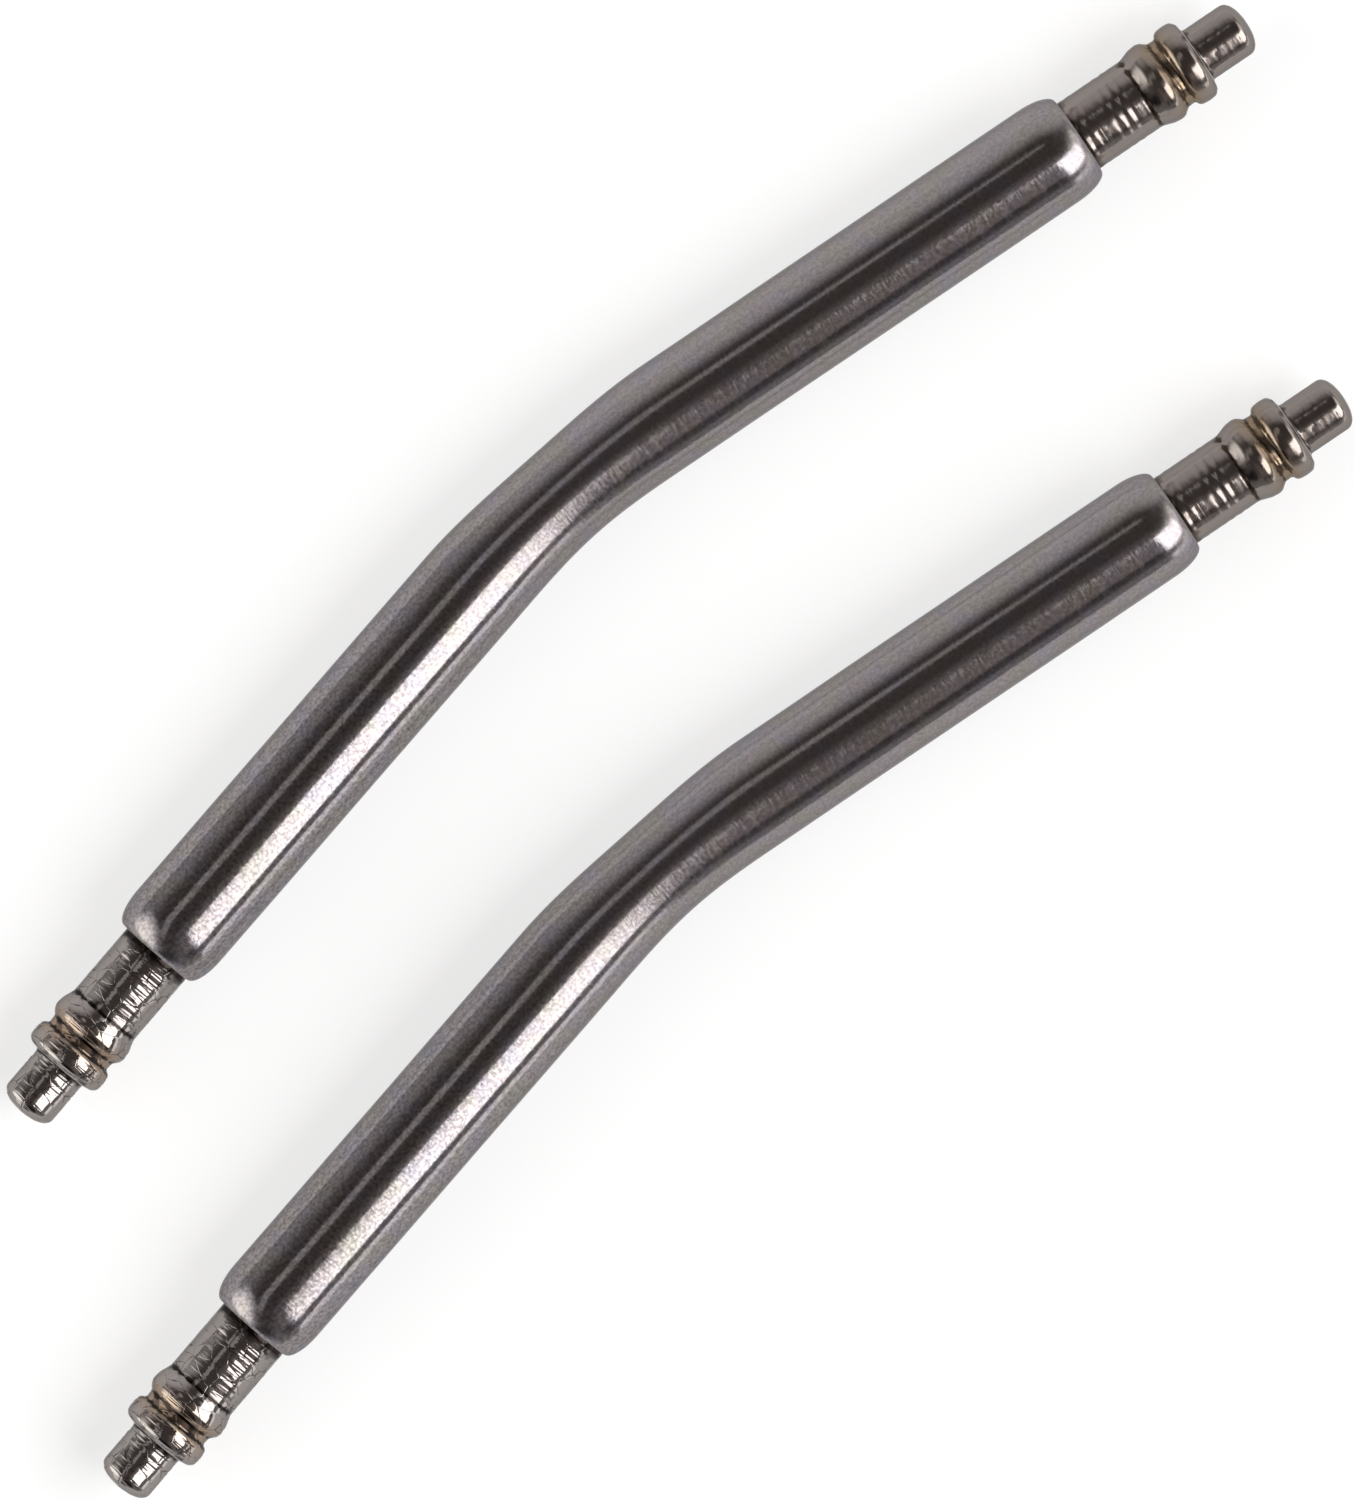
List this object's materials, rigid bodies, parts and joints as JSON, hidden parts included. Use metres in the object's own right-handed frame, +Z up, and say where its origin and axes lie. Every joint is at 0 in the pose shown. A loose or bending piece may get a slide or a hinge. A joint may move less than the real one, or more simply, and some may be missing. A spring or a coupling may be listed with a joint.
{
  "type": "spring bar",
  "caption": "Curved double-flanged watch spring bar as a loose pair: bent steel tube, inner coil spring and spring-loaded turned pistons whose thin pins enter the lugs.",
  "frame": {"origin": "on the table, under the middle of the pair's bounding box", "axes": "+X along the bars' chord, +Y the side the bends bulge to, +Z up from the table"},
  "size_m": [0.0298, 0.0086, 0.0018],
  "materials": {
    "tube_steel": "bright stainless steel tube, drawn and lightly polished across its length",
    "piston_steel": "turned stainless steel with fine lathe rings",
    "spring_steel": "drawn spring wire, dull"
  },
  "bodies": {
    "tubes": {"first_tube": "tube_steel", "first_spring": "spring_steel", "second_tube": "tube_steel", "second_spring": "spring_steel"},
    "first_left_piston": {"first_left_piston": "piston_steel"},
    "first_right_piston": {"first_right_piston": "piston_steel"},
    "second_left_piston": {"second_left_piston": "piston_steel"},
    "second_right_piston": {"second_right_piston": "piston_steel"}
  },
  "joints": [
    {"name": "first_left_press", "type": "slide", "parent": "tubes", "child": "first_left_piston", "axis": [0.9914, 0.1305, 0], "range_m": [0, 0.00115], "stiffness_N_per_m": 470, "deforming": ["first_spring"]},
    {"name": "first_right_press", "type": "slide", "parent": "tubes", "child": "first_right_piston", "axis": [-0.9914, 0.1305, 0], "range_m": [0, 0.00115], "stiffness_N_per_m": 470, "deforming": ["first_spring"]},
    {"name": "second_left_press", "type": "slide", "parent": "tubes", "child": "second_left_piston", "axis": [0.9914, 0.1305, 0], "range_m": [0, 0.00115], "stiffness_N_per_m": 470, "deforming": ["second_spring"]},
    {"name": "second_right_press", "type": "slide", "parent": "tubes", "child": "second_right_piston", "axis": [-0.9914, 0.1305, 0], "range_m": [0, 0.00115], "stiffness_N_per_m": 470, "deforming": ["second_spring"]}
  ]
}
